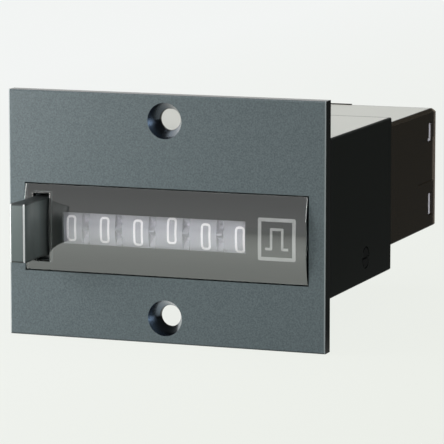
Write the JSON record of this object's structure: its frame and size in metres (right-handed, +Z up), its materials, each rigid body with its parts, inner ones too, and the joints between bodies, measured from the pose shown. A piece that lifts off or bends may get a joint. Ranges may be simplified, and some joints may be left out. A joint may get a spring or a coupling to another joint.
{
  "type": "pulse counter",
  "caption": "Panel-mounted electromagnetic pulse counter with a row of printed number wheels behind a clear window, a push reset key and rear screw terminals",
  "frame": {"origin": "centre of the front plate's rear face, midway between the two panel screws, where the plate seats on the panel", "axes": "X to the right along the plate, Y into the panel, Z up"},
  "size_m": [0.081, 0.1198, 0.06],
  "materials": {
    "plate_moulding": "moulded, fine satin grain",
    "clear_lens": "clear polished moulding",
    "mask": "dark satin",
    "key_moulding": "moulded, slightly glossy",
    "spring_wire": "drawn wire",
    "front_moulding": "black, satin",
    "rear_moulding": "brown-black, glossy",
    "top_sheet": "light grey",
    "blackened_steel": "blackened",
    "zinc_sheet": "zinc plated sheet",
    "brass": "plain",
    "turned_steel": "turned, bright",
    "wheel_moulding": "mid grey with white figures",
    "stamped_steel": "stamped",
    "pinion_moulding": "natural moulding",
    "soft_iron": "plated soft iron",
    "bobbin_moulding": "natural moulding",
    "winding_tape": "taped copper winding",
    "plated_steel": "nickel plated",
    "copper": "bare copper",
    "block_moulding": "black insulating moulding"
  },
  "bodies": {
    "frame": {"front_plate": "plate_moulding", "window_lens": "clear_lens", "window_mask": "mask", "key_spring": "spring_wire", "front_housing": "front_moulding", "rear_housing": "rear_moulding", "front_top_plate": "top_sheet", "rear_top_plate": "top_sheet", "housing_screws": "blackened_steel", "left_side_plate": "zinc_sheet", "right_side_plate": "zinc_sheet", "tie_bars": "zinc_sheet", "rear_bridge": "zinc_sheet", "shaft_bushes": "brass", "cradle_rod": "turned_steel", "armature_pin": "turned_steel", "armature_spring": "spring_wire", "magnet_yoke": "soft_iron", "magnet_core": "soft_iron", "coil_bobbin": "bobbin_moulding", "coil_winding": "winding_tape", "core_nut": "plated_steel", "coil_leads": "copper", "terminal_block": "block_moulding", "terminal_plates": "brass", "terminal_screws": "plated_steel"},
    "key": {"reset_key": "key_moulding"},
    "shaft": {"wheel_shaft": "turned_steel", "shaft_collar": "turned_steel"},
    "cradle": {"pinion_cradle": "zinc_sheet", "pinion_shaft": "turned_steel"},
    "lever": {"armature": "soft_iron", "drive_lever": "zinc_sheet"},
    "units": {"units_wheel": "wheel_moulding", "units_pawl": "stamped_steel"},
    "tens": {"tens_wheel": "wheel_moulding", "tens_pawl": "stamped_steel"},
    "hundreds": {"hundreds_wheel": "wheel_moulding", "hundreds_pawl": "stamped_steel"},
    "thousands": {"thousands_wheel": "wheel_moulding", "thousands_pawl": "stamped_steel"},
    "ten_thousands": {"ten_thousands_wheel": "wheel_moulding", "ten_thousands_pawl": "stamped_steel"},
    "hundred_thousands": {"hundred_thousands_wheel": "wheel_moulding", "hundred_thousands_pawl": "stamped_steel"},
    "tens_transfer": {"tens_pinion": "pinion_moulding"},
    "hundreds_transfer": {"hundreds_pinion": "pinion_moulding"},
    "thousands_transfer": {"thousands_pinion": "pinion_moulding"},
    "ten_thousands_transfer": {"ten_thousands_pinion": "pinion_moulding"},
    "hundred_thousands_transfer": {"hundred_thousands_pinion": "pinion_moulding"}
  },
  "joints": [
    {"name": "key_press", "type": "slide", "parent": "frame", "child": "key", "axis": [0, 1, 0], "range_m": [0, 0.012], "stiffness_N_per_m": 150, "springref_m": -0.006, "deforming": ["key_spring"]},
    {"name": "shaft_turn", "type": "hinge", "parent": "frame", "child": "shaft", "pos_m": [0, 0.0107, -0.00325], "axis": [-1, 0, 0], "range_deg": [0, 382]},
    {"name": "cradle_swing", "type": "hinge", "parent": "frame", "child": "cradle", "pos_m": [0, 0.02667, -0.01525], "axis": [-1, 0, 0], "range_deg": [0, 12]},
    {"name": "units_turn", "type": "hinge", "parent": "frame", "child": "units", "pos_m": [0.0185, 0.0107, -0.00325], "axis": [-1, 0, 0], "continuous": true},
    {"name": "tens_turn", "type": "hinge", "parent": "frame", "child": "tens", "pos_m": [0.00982, 0.0107, -0.00325], "axis": [-1, 0, 0], "continuous": true},
    {"name": "hundreds_turn", "type": "hinge", "parent": "frame", "child": "hundreds", "pos_m": [0.00114, 0.0107, -0.00325], "axis": [-1, 0, 0], "continuous": true},
    {"name": "thousands_turn", "type": "hinge", "parent": "frame", "child": "thousands", "pos_m": [-0.00754, 0.0107, -0.00325], "axis": [-1, 0, 0], "continuous": true},
    {"name": "ten_thousands_turn", "type": "hinge", "parent": "frame", "child": "ten_thousands", "pos_m": [-0.01622, 0.0107, -0.00325], "axis": [-1, 0, 0], "continuous": true},
    {"name": "hundred_thousands_turn", "type": "hinge", "parent": "frame", "child": "hundred_thousands", "pos_m": [-0.0249, 0.0107, -0.00325], "axis": [-1, 0, 0], "continuous": true},
    {"name": "tens_transfer_turn", "type": "hinge", "parent": "cradle", "child": "tens_transfer", "pos_m": [0.01292, 0.02667, -0.00325], "axis": [-1, 0, 0], "continuous": true},
    {"name": "hundreds_transfer_turn", "type": "hinge", "parent": "cradle", "child": "hundreds_transfer", "pos_m": [0.00424, 0.02667, -0.00325], "axis": [-1, 0, 0], "continuous": true},
    {"name": "thousands_transfer_turn", "type": "hinge", "parent": "cradle", "child": "thousands_transfer", "pos_m": [-0.00444, 0.02667, -0.00325], "axis": [-1, 0, 0], "continuous": true},
    {"name": "ten_thousands_transfer_turn", "type": "hinge", "parent": "cradle", "child": "ten_thousands_transfer", "pos_m": [-0.01312, 0.02667, -0.00325], "axis": [-1, 0, 0], "continuous": true},
    {"name": "hundred_thousands_transfer_turn", "type": "hinge", "parent": "cradle", "child": "hundred_thousands_transfer", "pos_m": [-0.0218, 0.02667, -0.00325], "axis": [-1, 0, 0], "continuous": true},
    {"name": "armature_pull", "type": "hinge", "parent": "frame", "child": "lever", "pos_m": [0, 0.0451, -0.0119], "axis": [-1, 0, 0], "range_deg": [0, 3], "stiffness_Nm_per_rad": 0.03, "springref_deg": -4.58, "deforming": ["armature_spring"]}
  ],
  "couplings": [
    {"joint": "shaft_turn", "follows": "key_press", "rad_per_m": 555.56},
    {"joint": "cradle_swing", "follows": "key_press", "rad_per_m": 17.453},
    {"joint": "tens_transfer_turn", "follows": "tens_turn", "ratio": -2.5},
    {"joint": "hundreds_transfer_turn", "follows": "hundreds_turn", "ratio": -2.5},
    {"joint": "thousands_transfer_turn", "follows": "thousands_turn", "ratio": -2.5},
    {"joint": "ten_thousands_transfer_turn", "follows": "ten_thousands_turn", "ratio": -2.5},
    {"joint": "hundred_thousands_transfer_turn", "follows": "hundred_thousands_turn", "ratio": -2.5}
  ]
}
